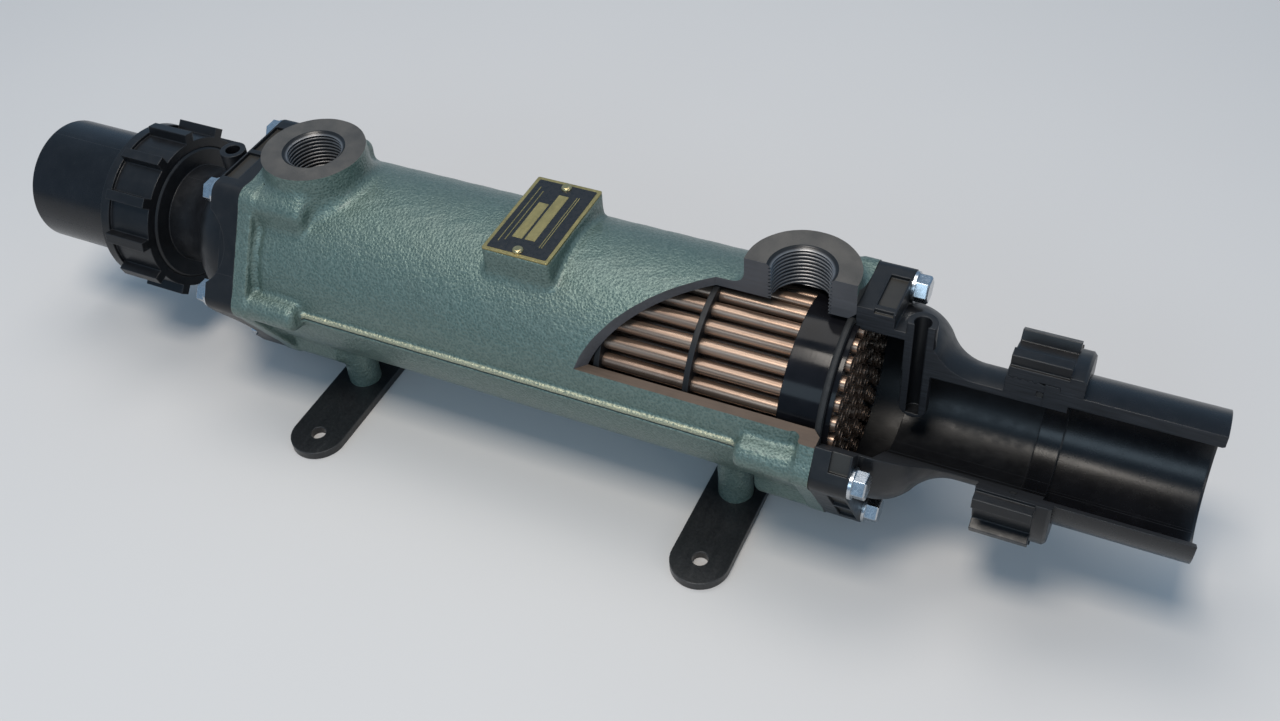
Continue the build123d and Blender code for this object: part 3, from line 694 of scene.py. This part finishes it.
def enamel():
    s = Sheet("black_enamel")
    peel = s.noise(500, 3.0, 0.5)
    wear = s.noise(700, 5.0, 0.7)
    colour = s.mix(s.rescale(wear, 0.62, 0.8, 0.0, 0.5), (0.010, 0.010, 0.011), (0.12, 0.10, 0.05))
    return s.finish(colour, s.rescale(peel, 0.3, 0.7, 0.24, 0.38), 0.0, s.bump(peel, 0.00006, 0.5))


COVER_PLASTIC = black_plastic("cover_plastic", recess=True)
PIPE_PLASTIC = black_plastic("pipe_plastic", (0.0042, 0.0043, 0.0052), (0.24, 0.29))
NUT_PLASTIC = black_plastic("nut_plastic", (0.0048, 0.0049, 0.0056), (0.30, 0.42))
BAFFLE_PLASTIC = black_plastic("baffle_plastic", (0.0036, 0.0036, 0.0040), (0.45, 0.6))
ZINC = plated_steel("zinc_plate", (0.47, 0.49, 0.51), (0.18, 0.30))
SCREW_STEEL = plated_steel("screw_steel", (0.10, 0.10, 0.105), (0.35, 0.5))
BRASS = brass("plate_brass", (0.40, 0.33, 0.145), (0.34, 0.5))
PIN_BRASS = brass("pin_brass", (0.62, 0.50, 0.26), (0.14, 0.26))
STRAP = strap_paint()
RUBBER = rubber()
TUBE_PLATE = glossy_plate()

FINISHES = {
    "nameplate": BRASS,
    "nameplate_pins": PIN_BRASS,
    "tube_bundle": copper_tube(),
    "baffles": BAFFLE_PLASTIC,
    "strap_screws": SCREW_STEEL,
}
for word in ("left", "right"):
    FINISHES[f"tube_plate_{word}"] = TUBE_PLATE
    FINISHES[f"tube_plate_seal_{word}"] = RUBBER
    FINISHES[f"union_seal_{word}"] = RUBBER
    FINISHES[f"end_cover_{word}"] = COVER_PLASTIC
    FINISHES[f"cover_bolts_{word}"] = ZINC
    FINISHES[f"union_tail_{word}"] = PIPE_PLASTIC
    FINISHES[f"union_nut_{word}"] = NUT_PLASTIC
    FINISHES[f"mounting_strap_{word}"] = STRAP
for name, material in FINISHES.items():
    dress(nodes[name], material)


# ---------------------------------------------------------------- nameplate face
def rounded_rectangle(centre, half, radius, steps=6):
    """Points of a rectangle with round corners."""
    points = []
    for corner, (sx, sy) in enumerate(((1, 1), (-1, 1), (-1, -1), (1, -1))):
        middle = (centre[0] + sx * (half[0] - radius), centre[1] + sy * (half[1] - radius))
        for n in range(steps + 1):
            t = (corner + n / steps) * math.pi / 2
            points.append((middle[0] + radius * math.cos(t), middle[1] + radius * math.sin(t)))
    return points


def plate_layer(name, outlines, low, thick, material):
    """Thin raised panels on the nameplate, in millimetres, with softened edges."""
    made = joined(name, [prism("part", outline, low, low + thick) for outline in outlines])
    soften = made.modifiers.new("soften", "BEVEL")
    soften.width = 0.3 * thick * MM
    soften.segments = 2
    soften.limit_method = "ANGLE"
    dress(made, material)
    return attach(made, "body")


def build_nameplate_face():
    """Black enamel inside a brass border, two blank brass fields and plain rules."""
    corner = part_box("nameplate")[1]
    top = (corner.z - AXIS_H) / MM
    half = (corner.x / MM, corner.y / MM)
    border = 2.0
    panel = rounded_rectangle((0, 0), (half[0] - border, half[1] - border), 0.8)
    plate_layer("nameplate_enamel", [panel], top, 0.12, enamel())
    fields = [
        rounded_rectangle((1.9, 1.2), (3.0, 19.6), 0.3),
        rounded_rectangle((-5.4, -3.4), (3.0, 15.2), 0.3),
    ]
    rules = []
    for x, low, high in ((9.3, -22, 22), (10.6, -22, 22), (-10.6, -22, 21), (-13.6, -24, 24)):
        rules.append(rounded_rectangle((x, (low + high) / 2), (0.28, (high - low) / 2), 0.2))
    plate_layer("nameplate_fields", fields + rules, top + 0.11, 0.1, BRASS)


build_nameplate_face()


# ---------------------------------------------------------------- stage, light and camera
def build_floor():
    bm = bmesh.new()
    bmesh.ops.create_grid(bm, x_segments=4, y_segments=4, size=6.0)
    floor = link("floor", mesh_of("floor", bm))
    s = Sheet("studio_floor")
    cloud = s.noise(3.0, 2.0)
    colour = s.mix(cloud, (0.595, 0.572, 0.553), (0.625, 0.600, 0.578))
    dress(floor, s.finish(colour, 0.75, 0.0, None, 0.0, 0.2, 0.2))


def area_light(name, place, size, power, colour, aim=(0.0, 0.0, 0.08)):
    data = bpy.data.lights.new(name, "AREA")
    data.shape = "RECTANGLE"
    data.size, data.size_y = size
    data.energy = power
    data.color = colour
    lamp = bpy.data.objects.new(name, data)
    lamp.location = place
    lamp.rotation_mode = "QUATERNION"
    lamp.rotation_quaternion = (Vector(aim) - Vector(place)).to_track_quat("-Z", "Y")
    scene.collection.objects.link(lamp)


def build_sky():
    world = bpy.data.worlds.new("studio")
    world.use_nodes = True
    tree = world.node_tree
    back = tree.nodes["Background"]
    back.inputs["Color"].default_value = (0.45, 0.70, 1.0, 1.0)
    back.inputs["Strength"].default_value = 0.46

    # the camera itself sees a plain pale backdrop
    backdrop = tree.nodes.new("ShaderNodeBackground")
    backdrop.inputs["Color"].default_value = (0.60, 0.595, 0.60, 1.0)
    choose = tree.nodes.new("ShaderNodeMixShader")
    ray = tree.nodes.new("ShaderNodeLightPath")
    tree.links.new(ray.outputs["Is Camera Ray"], choose.inputs[0])
    tree.links.new(back.outputs[0], choose.inputs[1])
    tree.links.new(backdrop.outputs[0], choose.inputs[2])
    tree.links.new(choose.outputs[0], tree.nodes["World Output"].inputs["Surface"])
    scene.world = world


def build_camera():
    data = bpy.data.cameras.new("camera")
    data.sensor_width = 36.0
    data.lens = CAMERA_LENS
    camera = bpy.data.objects.new("camera", data)
    camera.location = CAMERA_PLACE
    camera.rotation_mode = "QUATERNION"
    level = Vector(CAMERA_LOOK).to_track_quat("-Z", "Y")
    camera.rotation_quaternion = level @ Quaternion((0, 0, 1), -CAMERA_ROLL)
    scene.collection.objects.link(camera)
    scene.camera = camera


build_floor()
build_sky()
area_light("key", (0.05, -0.55, 1.85), (0.6, 0.5), 19.5, (1.0, 0.93, 0.845))
area_light("top", (-0.3, 0.45, 1.7), (1.2, 0.8), 9.5, (1.0, 0.95, 0.89))
area_light("front", (0.1, -1.5, 0.9), (1.2, 0.5), 5.0, (0.66, 0.85, 1.0))
area_light("side", (1.5, -0.5, 0.55), (0.5, 0.5), 2.5, (1.0, 0.93, 0.86), (0.18, 0.0, 0.08))
build_camera()
scene.view_settings.view_transform = "Standard"
